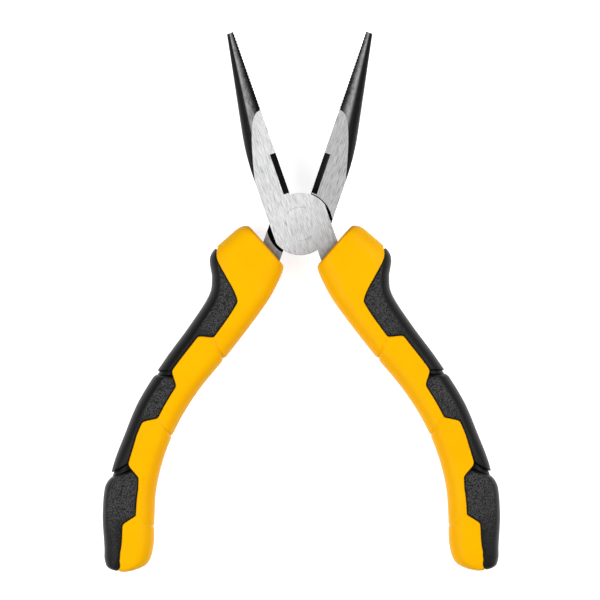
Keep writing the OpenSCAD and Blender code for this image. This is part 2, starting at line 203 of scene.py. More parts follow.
class PliersGripSettings(bpy.types.PropertyGroup):
    """Sizes and colours of the two-material grips"""

    pad_thickness: FloatProperty(
        name="Pad Thickness", description="Thickness of the soft pads",
        default=0.002, unit="LENGTH", precision=5)
    neck_depth: FloatProperty(
        name="Neck Depth", description="Depth of the necks between the pads",
        default=0.00095, unit="LENGTH", precision=5)
    lip_drop: FloatProperty(
        name="Lip Drop", description="Fall of the middle pad towards the neck below it",
        default=0.00065, unit="LENGTH", precision=5)
    groove_depth: FloatProperty(
        name="Groove Depth", description="Depth of the grooves between the scales",
        default=0.0006, unit="LENGTH", precision=5)
    groove_reach: FloatProperty(
        name="Groove Reach", description="Distance over which a groove rounds into the scales",
        default=0.0013, unit="LENGTH", precision=5)
    sleeve_edge: FloatProperty(
        name="Sleeve Edge", description="Rounding of the sleeve along the seam",
        default=0.0003, unit="LENGTH", precision=5)
    pad_edge: FloatProperty(
        name="Pad Edge", description="Rounding of the pads along the seam",
        default=0.0004, unit="LENGTH", precision=5)
    grain_height: FloatProperty(
        name="Grain Height", description="Height of the moulded grain on the flats of the pads",
        default=0.00007, unit="LENGTH", precision=6)
    grain_size: FloatProperty(
        name="Grain Size", description="Size of the moulded grain on the flats of the pads",
        default=0.0003, unit="LENGTH", precision=5)
    yellow: FloatVectorProperty(
        name="Yellow", description="Colour of the hard sleeve",
        default=(0.98, 0.49, 0.0, 1.0), size=4, subtype="COLOR", min=0, max=1)
    pad_black: FloatVectorProperty(
        name="Pad Black", description="Colour of the smooth flanks of the soft pads",
        default=(0.0045, 0.0045, 0.0049, 1.0), size=4, subtype="COLOR", min=0, max=1)
    # Partly the grain's own grey and partly painted light on the tops of the grain
    grain_grey_and_painted_light: FloatVectorProperty(
        name="Grain Grey", description="Colour of the tops of the grain on the pads",
        default=(0.07, 0.07, 0.0725, 1.0), size=4, subtype="COLOR", min=0, max=1)


class PliersStageSettings(bpy.types.PropertyGroup):
    """Floor, light and camera"""

    view_width: FloatProperty(
        name="View Width", description="Width of the picture at the height of the grips",
        default=0.1624, unit="LENGTH")
    view_centre: FloatVectorProperty(
        name="View Centre", description="Point of the tool in the middle of the picture",
        default=(-0.00017, -0.02058), size=2, unit="LENGTH", precision=5)
    view_roll: FloatProperty(
        name="View Roll", description="Turn of the camera about its axis",
        default=math.radians(-0.2), subtype="ANGLE")
    camera_height: FloatProperty(
        name="Camera Height", description="Height of the camera above the grips",
        default=1.4, unit="LENGTH")
    lamp_distance: FloatProperty(
        name="Lamp Distance", description="Distance of the two large soft lamps from the rivet",
        default=0.7, unit="LENGTH")
    lamp_length: FloatProperty(
        name="Lamp Length", description="Length of the two large soft lamps along the tool",
        default=0.75, unit="LENGTH")
    lamp_level: FloatProperty(
        name="Lamp Level", description="Brightness of the faces of the two large soft lamps",
        default=3.75, min=0)
    room_light: FloatProperty(
        name="Room Light", description="Brightness of the light that comes from the room all round",
        default=0.12, min=0)
    room_gloss: FloatProperty(
        name="Room Gloss", description="Brightness of the room as it shows in gloss",
        default=0.4, min=0)
    floor_colour: FloatVectorProperty(
        name="Floor", description="Colour of the floor",
        default=(0.75, 0.75, 0.75, 1.0), size=4, subtype="COLOR", min=0, max=1)


SETTINGS = (
    ("pliers_steel", PliersSteelSettings),
    ("pliers_grips", PliersGripSettings),
    ("pliers_stage", PliersStageSettings),
)


# Plan and section of a grip

def mix(a, b, share):
    return a + (b - a) * share


def down(share):
    """Height of a point at a share of the length below the grip's top."""
    return -(GRIP_TOP + share * (HANDLE_LEN - GRIP_TOP))


INNER_EDGE = np.array([
    (HEAD_IN + HEAD_CORNER, down(0.0785)),
    (HEAD_IN, down(0.098)),
    (mix(HEAD_IN, WAIST_IN, 0.07), down(0.127)),
    (mix(HEAD_IN, WAIST_IN, 0.32), down(0.178)),
    (WAIST_IN, down(0.256)),
    (mix(WAIST_IN, BELLY_IN, 0.314), down(0.354)),
    (mix(WAIST_IN, BELLY_IN, 0.697), down(0.463)),
    (mix(WAIST_IN, BELLY_IN, 0.922), down(0.561)),
    (BELLY_IN, down(0.657)),
    (mix(BELLY_IN, HEEL_IN, 0.146), down(0.751)),
    (mix(BELLY_IN, HEEL_IN, 0.56), down(0.83)),
    (HEEL_IN, down(0.901)),
    (HEEL_IN, down(0.954)),
    (HEEL_IN + HEEL_TURN_IN, down(0.993)),
])
OUTER_EDGE = np.array([
    (APEX_X, down(0)),
    (mix(APEX_X, HEAD_X, 0.488), down(0.0467)),
    (HEAD_X, down(0.114)),
    (mix(HEAD_X, WAIST_X, 0.764), down(0.172)),
    (WAIST_X, down(0.22)),
    (mix(WAIST_X, BELLY_X, 0.241), down(0.312)),
    (mix(WAIST_X, BELLY_X, 0.609), down(0.4235)),
    (mix(WAIST_X, BELLY_X, 0.919), down(0.5466)),
    (BELLY_X, down(0.6555)),
    (BELLY_X + BELLY_SWELL, down(0.776)),
    (mix(BELLY_X, HEEL_X, 0.223), down(0.863)),
    (mix(BELLY_X, HEEL_X, 0.81), down(0.947)),
    (HEEL_X, down(0.977)),
    (HEEL_X - HEEL_TURN_OUT, down(1)),
])


def smooth_curve(points, t):
    """Points of the smooth curve through a list of points, at an array of stations."""
    padded = np.vstack([2 * points[0] - points[1], points, 2 * points[-1] - points[-2]])
    i = np.clip(np.floor(t).astype(int), 0, len(points) - 2)
    f = (t - i)[..., None]
    a, b, c, d = (padded[i + k] for k in range(4))
    return b + 0.5 * f * (c - a + f * (2 * a - 5 * b + 4 * c - d + f * (3 * b - a - 3 * c + d)))


def lookup(t, table):
    return np.interp(t, [row[0] for row in table], [row[1] for row in table])


def smooth_step(x):
    x = np.clip(x, 0, 1)
    return x * x * (3 - 2 * x)


def fillet(distance, radius):
    """Drop of a surface at a distance from an edge that is rounded with a radius."""
    reach = radius - np.clip(distance, 0, radius)
    return radius - np.sqrt(np.maximum(radius * radius - reach * reach, 0))


def section_x(angle):
    return np.sign(np.sin(angle)) * np.abs(np.sin(angle)) ** (2 / SECTION_POWER)


def section_z(angle, softness):
    """Height of the section, its crease where it is cut flat softened over a share of the height."""
    rounded = np.maximum(np.cos(angle), 0) ** (2 / SECTION_POWER)
    overlap = np.maximum(softness - np.abs(rounded - FLAT_CUT), 0)
    return (np.minimum(rounded, FLAT_CUT) - overlap ** 2 / (4 * softness)) / FLAT_CUT


def section_angle(x):
    return np.sign(x) * np.arcsin(np.minimum(np.abs(x), 1) ** (SECTION_POWER / 2))


def run_table():
    """Stations and the length of the grip's middle line down to each."""
    t = np.linspace(0, LAST_STATION, RUN_SAMPLES)
    middle = (smooth_curve(INNER_EDGE, t) + smooth_curve(OUTER_EDGE, t)) / 2
    steps = np.linalg.norm(np.diff(middle, axis=0), axis=1)
    return t, np.concatenate([[0], np.cumsum(steps)])


RUN_STATIONS, RUN_LENGTHS = run_table()


def run_at(t):
    return np.interp(t, RUN_STATIONS, RUN_LENGTHS)


def seam_share(t):
    """Share of the way across a grip at which its seam lies, with its corners rounded."""
    offsets = np.linspace(-1, 1, CORNER_SAMPLES)
    weights = 1 - np.abs(offsets)
    shares = [lookup(t + SEAM_SMOOTHING * o, SEAM) * w for o, w in zip(offsets, weights)]
    return sum(shares) / weights.sum()


class GripPlan:
    """Middle, direction across and sizes of a grip at an array of stations."""

    def __init__(self, t):
        inner, outer = smooth_curve(INNER_EDGE, t), smooth_curve(OUTER_EDGE, t)
        self.t = t
        self.middle = (inner + outer) / 2
        self.half_w = np.linalg.norm(outer - inner, axis=-1) / 2
        self.across = (outer - inner) / (2 * self.half_w[..., None])
        self.run = run_at(t)
        from_heel = RUN_LENGTHS[-1] - self.run
        heel = fillet(from_heel, HEEL_ROUNDING)
        tail = np.clip(1 - from_heel / HEEL_REACH, 0, 1)
        self.outer_w = self.half_w - fillet(self.run, HEAD_OUTER) - heel
        self.inner_w = self.half_w - fillet(self.run, HEAD_INNER) - heel
        self.half_h = (
            GRIP_THICKNESS / MM / 2 - fillet(self.run, HEAD_HEIGHT) - HEEL_DROP * tail ** 2 - heel)

    def seam_x(self):
        return (2 * seam_share(self.t) - 1) * self.half_w

    def place(self, x, z):
        """Points at distances x across and heights z."""
        plan = self.middle + self.across * x[..., None]
        return np.concatenate([plan, np.broadcast_to(z, x.shape)[..., None]], axis=-1)

    def drawn_in(self, points, amount):
        """Points moved up the grip by an amount at the end of the heel, and less above it."""
        moved = amount * np.clip(1 - (RUN_LENGTHS[-1] - self.run) / HEEL_ROUNDING, 0, 1)
        up = np.stack([-self.across[..., 1], self.across[..., 0], np.zeros_like(self.run)], axis=-1)
        return points + up * moved[..., None]


def stations_between(first, last, spacing, fine_spots, fine_spacing):
    """Stations from first to last, closer together near the fine spots."""
    t = np.linspace(first, last, ROW_SAMPLES)
    near = np.min([np.maximum(a - t, t - b) for a, b in fine_spots], axis=0)
    wider = np.minimum(fine_spacing + ROW_SPREAD * np.maximum(near, 0), spacing)
    step = np.where(near < 0, fine_spacing, wider)
    counted = np.concatenate([[0], np.cumsum(np.diff(run_at(t)) / step[1:])])
    count = int(math.ceil(counted[-1]))
    return np.interp(np.linspace(0, counted[-1], count + 1), counted, t)


def seam_tree():
    """Search tree of the points of the seam in the plan."""
    plan = GripPlan(np.linspace(POCKET_START, LAST_STATION, SEAM_SAMPLES))
    line = plan.place(plan.seam_x(), 0.0)
    tree = KDTree(len(line))
    for i, point in enumerate(line):
        tree.insert(point, i)
    tree.balance()
    return tree


SEAM_TREE = seam_tree()


def seam_distance(points):
    """Distance of each point to the seam, in the plan."""
    flat = points.reshape(-1, 3) * (1, 1, 0)
    return np.array([SEAM_TREE.find(p)[2] for p in flat]).reshape(points.shape[:-1])


# Meshes

def loft(rows, n):
    """Faces between rows of n points each, every row closed on itself."""
    i = np.arange(n)
    ring = np.stack([i, (i + 1) % n, n + (i + 1) % n, n + i], axis=1)
    return (ring + n * np.arange(rows - 1)[:, None, None]).reshape(-1, 4).tolist()


def add_object(name, data):
    obj = bpy.data.objects.new(name, data)
    bpy.context.scene.collection.objects.link(obj)
    return obj


SHARP_ANGLE = math.radians(50)
WELD_DISTANCE = 1e-7


def mesh_object(name, points, faces, place, mark, marks):
    """A smooth mesh from points in millimetres in the closed half's frame, set in its place and marked."""
    mesh = bpy.data.meshes.new(name)
    mesh.from_pydata((points * MM).tolist(), [], faces)
    mesh.transform(place)
    mesh.attributes.new(mark, "FLOAT", "POINT").data.foreach_set("value", marks.astype(np.float32))
    work = bmesh.new()
    work.from_mesh(mesh)
    bmesh.ops.remove_doubles(work, verts=work.verts, dist=WELD_DISTANCE)
    bmesh.ops.triangulate(work, faces=[f for f in work.faces if len(f.verts) > 4])
    bmesh.ops.recalc_face_normals(work, faces=work.faces)
    work.to_mesh(mesh)
    work.free()
    mesh.polygons.foreach_set("use_smooth", [True] * len(mesh.polygons))
    mesh.set_sharp_from_angle(angle=SHARP_ANGLE)
    return add_object(name, mesh)


# Steps across a sleeve from its seam, in its pocket and over its scales, its rows, and the width and fade of
# the painted shade round its mouth's rim
MIRROR = np.array([1, 1, -1])
EDGE_STEPS = np.array([0, 0.03, 0.07, 0.12, 0.18, 0.25, 0.33, 0.45, 0.62, 0.85])
POCKET_STEPS = 10
SCALE_STEPS = 30
SEAM_TURNS = ((1.55, 1.8), (4.75, 5.2), (6.0, 6.45), (7.1, 7.6), (8.45, 9.0), (9.9, 10.45))
SLEEVE_ENDS = ((0, 0.12), (12.5, 13))
SLEEVE_SPACING, SLEEVE_FINE_SPACING = 0.4, 0.12
PAINTED_SHADE_WIDTH, PAINTED_SHADE_FADE = 0.5, 0.3


def sleeve_rings(settings):
    """Rings of a sleeve's outside, from the pocket round the scales and back, and how far down they lie."""
    fine = SLEEVE_ENDS + SEAM_TURNS
    t = stations_between(0, LAST_STATION, SLEEVE_SPACING, fine, SLEEVE_FINE_SPACING)[:, None]
    plan = GripPlan(t)
    seam = plan.seam_x()
    pocketed = lookup(t, ((POCKET_START, 0), (POCKET_FULL, 1)))
    depth = pocketed * (settings.pad_thickness / MM + PAD_GAP)

    wall = section_angle((seam + SEAM_DRAFT) / (plan.outer_w - depth))
    angle = mix(math.pi / 2, wall, np.linspace(0, 1, POCKET_STEPS + 1))
    pocket = plan.drawn_in(plan.place(
        (plan.outer_w - depth) * section_x(angle),
        (plan.half_h - depth) * section_z(angle, SLEEVE_CREASE_SOFTNESS)), HEEL_NOTCH)

    near = seam - EDGE_STEPS
    near_angle = section_angle(near / np.where(near > 0, plan.outer_w, plan.inner_w))
    rest_angle = mix(near_angle[:, -1:], -math.pi / 2, np.linspace(0, 1, SCALE_STEPS + 1)[1:])
    angle = np.concatenate([near_angle, rest_angle], axis=1)
    side = section_x(angle)
    x = np.where(angle > 0, plan.outer_w, plan.inner_w) * side
    keep = 1 - groove_depth(plan, (x / plan.half_w + 1) / 2, settings) / plan.half_h
    height = section_z(angle, SLEEVE_CREASE_SOFTNESS)
    edge = seam_distance(plan.place(x, 0.0))
    z = height * (plan.half_h * keep - pocketed * fillet(edge, settings.sleeve_edge / MM))
    scales = plan.place(x * mix(1, keep, np.minimum(side, 0) ** 2), np.maximum(z, 0))
    scales = plan.drawn_in(scales, fillet(edge, HEEL_NOTCH))

    top = np.concatenate([pocket, scales], axis=1)
    return np.concatenate([top, top[:, -2:0:-1] * MIRROR], axis=1), plan.run


def groove_depth(plan, share, settings):
    """Depth of the grooves between the scales, deepest at the inner edge."""
    per_station = np.gradient(plan.run[:, 0], plan.t[:, 0])[:, None]
    found = np.zeros_like(share)
    for at_edge, at_seam, seam, depth in GROOVES:
        along = np.clip(share / seam, 0, 1)
        off = np.abs(plan.t - mix(at_edge, at_seam, along)) * per_station
        crease = np.maximum(1 - off / (settings.groove_reach / MM), 0) ** 3
        found = np.maximum(found, depth * mix(1, GROOVE_AT_SEAM, along) * crease)
    return found * settings.groove_depth / MM


def hole_rings(mouth):
    """Rings of the hole in a sleeve: its points lie on the tang's outline, in line with the mouth's."""
    t = np.array(TANG_STATIONS, float)[:, None]
    plan = GripPlan(t)
    inner, outer = ((x - plan.middle[0, 0, 0]) / plan.across[0, 0, 0] for x in (ROOT_W - TANG_W, ROOT_W))
    mouth_share = (inner + outer) / 2 / plan.half_w[0, 0]
    middle = lookup(t, ((0, mouth_share),) + TANG_MIDDLES) * plan.half_w
    half_ws = ((0, (outer - inner) / 2), (1, TANG_W / 2), (t[-1, 0], TANG_END_W / 2))
    half_w = TANG_GAP + lookup(t, half_ws)
    half_t = TANG_GAP + lookup(t, ((1, JOINT_THICKNESS / MM / 2), (3, TANG_T / 2)))
    across = (mouth[:, :2] - plan.middle[0, 0]) @ plan.across[0, 0] - middle[0]
    dx, dz = across / half_w[0], mouth[:, 2] / half_t[0]
    reach = 1 / np.maximum(np.abs(dx), np.abs(dz))
    return plan.place(middle + half_w * dx * reach, half_t * dz * reach)


def sleeve_mesh(settings):
    """Points and faces of a sleeve with the hole for its tang, and how far each point lies in the painted
    shade round the rim of its mouth.
    """
    outside, run = sleeve_rings(settings)
    hole = hole_rings(outside[0])
    rows, n = outside.shape[:2]
    points = np.concatenate([
        outside.reshape(-1, 3), hole.reshape(-1, 3), outside[-1].mean(0)[None], hole[-1].mean(0)[None]])
    first_hole = rows * n
    heel = first_hole + len(hole) * n
    faces = loft(rows, n)
    faces += [[first_hole + k for k in reversed(f)] for f in loft(len(hole), n)]
    for i in range(n):
        j = (i + 1) % n
        faces.append([j, i, first_hole + i, first_hole + j])
        faces.append([first_hole - n + i, first_hole - n + j, heel])
        faces.append([heel - n + j, heel - n + i, heel + 1])
    # Painted shade: how far each point lies in the deeper orange painted round the rim of the mouth
    painted_mouth_shade = np.zeros(len(points))
    painted_mouth_shade[:first_hole] = np.repeat(np.clip((PAINTED_SHADE_WIDTH - run) / PAINTED_SHADE_FADE, 0, 1), n)
    return points, faces, painted_mouth_shade


# Steps across a pad, its rows, the room for its flank, and the margin, fade and pattern of its grain
FLAT_STEPS = 30
FLANK_STEPS = 20
INSIDE_STEPS = 8
PAD_SPACING, PAD_FINE_SPACING = 0.17, 0.1
PAD_FINE_START, PAD_FINE_NECK = 0.12, 0.1
FLANK_ROOM = 0.15
GRAIN_MARGIN, GRAIN_FADE = 0.25, 0.25
GRAIN_DETAIL, GRAIN_SPREAD = 2.0, (0.4, 0.62)

# Grain of each pad: width of its smooth flank, and how strong the grain is at which station
GRAINED = (
    (2.4, ((1.72, 0), (1.8, 1), (4.7, 1), (5.1, 0.3), (5.94, 0.3), (6.04, 0))),
    (2.4, ((6.16, 0), (6.2, 1), (7.1, 1), (7.5, 0.3), (8.39, 0.3), (8.48, 0))),
    (1.3, ((8.68, 0), (8.74, 1), (9.9, 1), (10.6, 0.32), (13, 0.14))),
)


def slide(row, x):
    """Stations moved down the grip between the seam and the outer edge, where the necks slant."""
    share = (x / row.half_w + 1) / 2
    start = np.maximum(seam_share(row.t), SLANT_FROM)
    return row.t + lookup(row.t, SLANTS) * np.maximum(0, share - start) / (1 - start)


def slid_surface(row, angle, inset, fall):
    """Plan, distances across and heights of a pad's surface that lies inside the grip's full size."""
    plan = GripPlan(slide(row, (row.half_w - inset) * section_x(angle)))
    return (
        plan,
        (plan.outer_w - inset) * section_x(angle),
        (plan.half_h - fall) * section_z(angle, PAD_CREASE_SOFTNESS),
    )


def pad_falls(index, t, settings):
    """How far a pad's side and its top lie inside the grip's full size."""
    first, neck, last, widening, rise = PADS[index][1:]
    lip_drop = settings.lip_drop / MM
    lip = (0, lip_drop, 0)[index] * np.clip((t - neck) / LIP_RUN + 1, 0, 1) ** 2
    in_neck = smooth_step((run_at(t) - run_at(neck)) / NECK_WALL + 0.5) if neck < last else 0
    at_foot = fillet((run_at(last) - run_at(t)) / FOOT_RUN, 1.0) if neck < last else 0
    falls = []
    for reach, share, foot in ((widening, NECK_SIDE, 0), (rise, 1, FOOT_DEPTH)):
        depth = share * settings.neck_depth / MM
        start = (0, depth + foot, depth + foot + lip_drop)[index]
        falls.append(start * fillet((t - first) / reach, 1.0) + lip + depth * in_neck + foot * at_foot)
    return falls


def pad_mesh(index, settings):
    """Points and faces of a pad, and how far each point lies on its grained flats, from 0 to 1."""
    first, neck, last = PADS[index][1:4]
    fine = ((first, first + PAD_FINE_START), (neck - PAD_FINE_NECK, last)) + SEAM_TURNS
    row = GripPlan(stations_between(first, last, PAD_SPACING, fine, PAD_FINE_SPACING)[:, None])
    inset, fall = pad_falls(index, row.t, settings)
    thickness = settings.pad_thickness / MM
    width = row.outer_w - inset

    seam = row.seam_x() + PAD_GAP + SEAM_DRAFT * fall / thickness
    near = seam + EDGE_STEPS * np.minimum((width - seam) / (2 * EDGE_STEPS[-1]), 1)
    crease = np.maximum(mix(near[:, -1:], width, FLANK_ROOM), CREASE * width)
    flat = mix(near[:, -1:], crease, np.linspace(0, 1, FLAT_STEPS + 1)[1:])
    flat_angle = section_angle(np.concatenate([near, flat], axis=1) / width)
    flank_angle = mix(flat_angle[:, -1:], math.pi / 2, np.linspace(0, 1, FLANK_STEPS + 1)[1:])
    plan, x, z = slid_surface(row, np.concatenate([flat_angle, flank_angle], axis=1), inset, fall)
    edge = seam_distance(plan.place(x, 0.0)) - PAD_GAP
    z = z * (1 - fillet(edge, settings.pad_edge / MM) * (1 - fall / thickness) / plan.half_h)
    top = plan.drawn_in(plan.place(x, np.maximum(z, 0)), fillet(edge, HEEL_NOTCH))
    grain = np.clip((edge - GRAIN_MARGIN) / GRAIN_FADE, 0, 1)
    flank, strength = GRAINED[index]
    grain = grain * np.clip((width - flank - x) / GRAIN_FADE, 0, 1) * lookup(row.t, strength)

    floor_from = section_angle((row.seam_x() + SEAM_DRAFT + PAD_GAP) / (row.outer_w - thickness))
    angle = mix(floor_from, math.pi / 2, np.linspace(0, 1, INSIDE_STEPS + 1))
    plan, x, z = slid_surface(row, angle, thickness, thickness)
    edge = seam_distance(plan.place(x, 0.0)) - PAD_GAP - SEAM_DRAFT
    inside = plan.drawn_in(plan.place(x, z), fillet(edge, HEEL_NOTCH))

    rings = np.concatenate([top * MIRROR, top[:, -2::-1], inside, inside[:, -2::-1] * MIRROR], axis=1)
    bare = np.zeros((len(rings), 2 * inside.shape[1] - 1))
    mask = np.concatenate([grain, grain[:, -2::-1], bare], axis=1)
    rows, n = rings.shape[:2]
    faces = loft(rows, n)
    faces.append(list(range(n)))
    faces.append(list(reversed(range((rows - 1) * n, rows * n))))
    return rings.reshape(-1, 3), faces, mask.reshape(-1)


# Node trees

def add_node(tree, kind, inputs, **settings):
    """A new node with its settings, and its inputs linked to sockets or set to values."""
    node = tree.nodes.new(kind)
    for name, value in settings.items():
        setattr(node, name, value)
    for key, value in inputs.items():
        if isinstance(value, bpy.types.NodeSocket):
            tree.links.new(value, node.inputs[key])
        else:
            node.inputs[key].default_value = value
    return node


def map_range(tree, value, low, high, to_low, to_high):
    inputs = {"Value": value, "From Min": low, "From Max": high, "To Min": to_low, "To Max": to_high}
    return add_node(tree, "ShaderNodeMapRange", inputs).outputs["Result"]


def math_node(tree, operation, *values):
    return add_node(tree, "ShaderNodeMath", dict(enumerate(values)), operation=operation).outputs["Value"]


def grain_tree():
    """Node tree that presses a moulded grain into the parts of a mesh that its grain attribute marks."""
    tree = bpy.data.node_groups.new("Pad Grain", "GeometryNodeTree")
    sockets = (
        ("Geometry", "INPUT", "NodeSocketGeometry"),
        ("Grain Height", "INPUT", "NodeSocketFloat"),
        ("Grain Size", "INPUT", "NodeSocketFloat"),
        ("Material", "INPUT", "NodeSocketMaterial"),
        ("Geometry", "OUTPUT", "NodeSocketGeometry"),
    )
    for name, direction, kind in sockets:
        tree.interface.new_socket(name, in_out=direction, socket_type=kind)
    given = tree.nodes.new("NodeGroupInput").outputs
    position = tree.nodes.new("GeometryNodeInputPosition").outputs["Position"]
    scale = math_node(tree, "DIVIDE", 1.0, given["Grain Size"])
    inputs = {"Vector": position, "Scale": scale, "Detail": GRAIN_DETAIL}
    speck = add_node(tree, "ShaderNodeTexNoise", inputs).outputs["Fac"]
    marked = add_node(tree, "GeometryNodeInputNamedAttribute", {"Name": "grain"}, data_type="FLOAT")
    pressed = map_range(tree, speck, *GRAIN_SPREAD, -1.0, 0.0)
    pressed = math_node(tree, "MULTIPLY", pressed, marked.outputs["Attribute"])
    pressed = math_node(tree, "MULTIPLY", pressed, given["Grain Height"])
    normal = tree.nodes.new("GeometryNodeInputNormal").outputs["Normal"]
    offset = add_node(tree, "ShaderNodeVectorMath", {"Vector": normal, "Scale": pressed}, operation="SCALE")
    geometry = given["Geometry"]
    for kind, inputs in (
            ("GeometryNodeSetPosition", {"Offset": offset.outputs["Vector"]}),
            ("GeometryNodeRealizeInstances", {}),
            ("GeometryNodeSetMaterial", {"Material": given["Material"]})):
        geometry = add_node(tree, kind, {"Geometry": geometry, **inputs}).outputs["Geometry"]
    add_node(tree, "NodeGroupOutput", {"Geometry": geometry})
    return tree


def apply_tree(obj, tree, values):
    """Runs a node tree on an object with named input values, and keeps the result as its plain mesh."""
    modifier = obj.modifiers.new(tree.name, "NODES")
    modifier.node_group = tree
    for socket in tree.interface.items_tree:
        if socket.in_out == "INPUT" and socket.name in values:
            modifier[socket.identifier] = values[socket.name]
    depsgraph = bpy.context.evaluated_depsgraph_get()
    result = bpy.data.meshes.new_from_object(
        obj.evaluated_get(depsgraph), preserve_all_data_layers=True, depsgraph=depsgraph)
    obj.modifiers.clear()
    obj.data = result


# Materials

def empty_material(name):
    material = bpy.data.materials.new(name)
    material.use_nodes = True
    material.node_tree.nodes.clear()
    return material, material.node_tree


def new_material(name):
    """A material, its tree and its main shader."""
    material, tree = empty_material(name)
    shader = tree.nodes.new("ShaderNodeBsdfPrincipled")
    add_node(tree, "ShaderNodeOutputMaterial", {"Surface": shader.outputs["BSDF"]})
    return material, tree, shader


def object_coordinates(tree, scale, angle=0.0):
    """Object coordinates turned about Z and measured in the pattern's own sizes."""
    source = tree.nodes.new("ShaderNodeTexCoord").outputs["Object"]
    inputs = {"Vector": source, "Rotation": (0, 0, angle), "Scale": scale}
    return add_node(tree, "ShaderNodeMapping", inputs, vector_type="TEXTURE").outputs["Vector"]


def noise(tree, vector, detail=3.0, roughness=0.5):
    inputs = {"Vector": vector, "Scale": 1.0, "Detail": detail, "Roughness": roughness}
    return add_node(tree, "ShaderNodeTexNoise", inputs).outputs["Fac"]


def turned_millimetres(tree, angle):
    """Object coordinates X and Y turned about Z, in millimetres."""
    placed = object_coordinates(tree, (MM, MM, MM), angle)
    node = add_node(tree, "ShaderNodeSeparateXYZ", {"Vector": placed})
    return node.outputs["X"], node.outputs["Y"]


def ramp(tree, value, stops):
    """A colour ramp: a list of places and colours."""
    node = tree.nodes.new("ShaderNodeValToRGB")
    elements = node.color_ramp.elements
    while len(elements) < len(stops):
        elements.new(0.5)
    for element, (place, colour) in zip(elements, stops):
        element.position = place
        element.color = colour
    tree.links.new(value, node.inputs["Fac"])
    return node.outputs["Color"]


def mix_colour(tree, share, a, b, blend="MIX"):
    node = tree.nodes.new("ShaderNodeMix")
    node.data_type, node.blend_type = "RGBA", blend
    for name, value in (("Factor", share), ("A", a), ("B", b)):
        socket = next(s for s in node.inputs if s.name == name and s.enabled)
        if hasattr(value, "default_value"):
            tree.links.new(value, socket)
        else:
            socket.default_value = value
    return next(s for s in node.outputs if s.enabled)


def dress(tree, shader, colour, value, roughness, height, relief, spread=(0.3, 0.7)):
    """Links a shader's colour, its roughness, which follows a value over its spread, and its relief."""
    tree.links.new(colour, shader.inputs["Base Color"])
    tree.links.new(map_range(tree, value, *spread, *roughness), shader.inputs["Roughness"])
    distance, strength = relief
    bump = add_node(tree, "ShaderNodeBump", {"Height": height, "Distance": distance, "Strength": strength})
    tree.links.new(bump.outputs["Normal"], shader.inputs["Normal"])


def tint(colour, share):
    """A colour made darker or lighter by a share."""
    return tuple(min(c * share, 1) for c in colour[:3]) + (1,)


def tints(colour, table):
    """Stops of a ramp from places and the shares by which a colour is made darker or lighter there."""
    return [(place, tint(colour, share)) for place, share in table]


# Painted shade of the steel towards the mouth of its grip, tinted warm as a painted reflection of the grip:
# share of the reach from the mouth, and the tint there
MOUTH_PAINTED_SHADE = (
    (0.0, (0.38, 0.36, 0.33, 1)), (0.07, (0.53, 0.51, 0.49, 1)), (0.16, (0.62, 0.6, 0.59, 1)),
    (0.34, (0.72, 0.7, 0.69, 1)), (0.5, (0.84, 0.83, 0.83, 1)), (0.72, (0.92, 0.92, 0.92, 1)),
    (1.0, (1, 1, 1, 1)))
MOUTH_PAINTED_SHADE_REACH = 14.0

# Ground steel: clouds, how much wider and longer the broad scratches are, tints of the fine ones, plain
# colour over them, gloss, and depth and strength of the relief
GROUND_CLOUD = (0.012, 0.02, 0.012)
BROAD_WIDTH, BROAD_LENGTH = 4, 2.5
SCRATCH_TINTS = ((0.33, 0.42), (0.58, 1.16))
SCRATCH_COVER = (0.35, 0.65, 0.0, 0.5)
GROUND_ROUGHNESS, GROUND_ANISOTROPY = (0.40, 0.42), 0.8
GROUND_BUMP = (0.00002, 0.4)


def mouth_line():
    """Line along a grip's mouth in the plan: its normal towards the jaws and its height along that."""
    along = OUTER_EDGE[0] - INNER_EDGE[0]
    normal = np.array((-along[1], along[0])) / np.linalg.norm(along)
    return normal[0], normal[1], normal @ INNER_EDGE[0]


def ground_steel(name, settings, angle, side):
    """Satin steel with scratches along the jaw that spread its gloss, with painted shade, tinted warm, by
    the grip's mouth.
    """
    material, tree, shader = new_material(name)
    width, length = settings.scratch_width, settings.scratch_length
    fine = noise(tree, object_coordinates(tree, (width, length, width), angle), 3.0, 0.6)
    broad_size = (width * BROAD_WIDTH, length * BROAD_LENGTH, width * BROAD_WIDTH)
    broad = noise(tree, object_coordinates(tree, broad_size, angle), 2.0)
    cloud = noise(tree, object_coordinates(tree, GROUND_CLOUD, angle), 2.0)
    colour = tuple(settings.ground_colour)
    scratched = ramp(tree, fine, tints(colour, SCRATCH_TINTS))
    soft = map_range(tree, broad, *SCRATCH_COVER)
    # Painted shade and warm painted reflection of the grip, darkest at the grip's mouth
    x, y = turned_millimetres(tree, angle)
    across, up, height = mouth_line()
    above = math_node(tree, "MULTIPLY_ADD", x, side * across, -height)
    above = math_node(tree, "MULTIPLY_ADD", y, up, above)
    shade = ramp(tree, map_range(tree, above, 0.0, MOUTH_PAINTED_SHADE_REACH, 0.0, 1.0), MOUTH_PAINTED_SHADE)
    shaded = mix_colour(tree, 1.0, mix_colour(tree, soft, scratched, colour), shade, "MULTIPLY")
    dress(tree, shader, shaded, cloud, GROUND_ROUGHNESS, fine, GROUND_BUMP)
    shader.inputs["Metallic"].default_value = 1.0
    along = add_node(
        tree, "ShaderNodeVectorTransform", {"Vector": (math.cos(angle), math.sin(angle), 0)},
        vector_type="VECTOR", convert_from="OBJECT", convert_to="WORLD")
    tree.links.new(along.outputs["Vector"], shader.inputs["Tangent"])
    shader.inputs["Anisotropic"].default_value = GROUND_ANISOTROPY
    return material


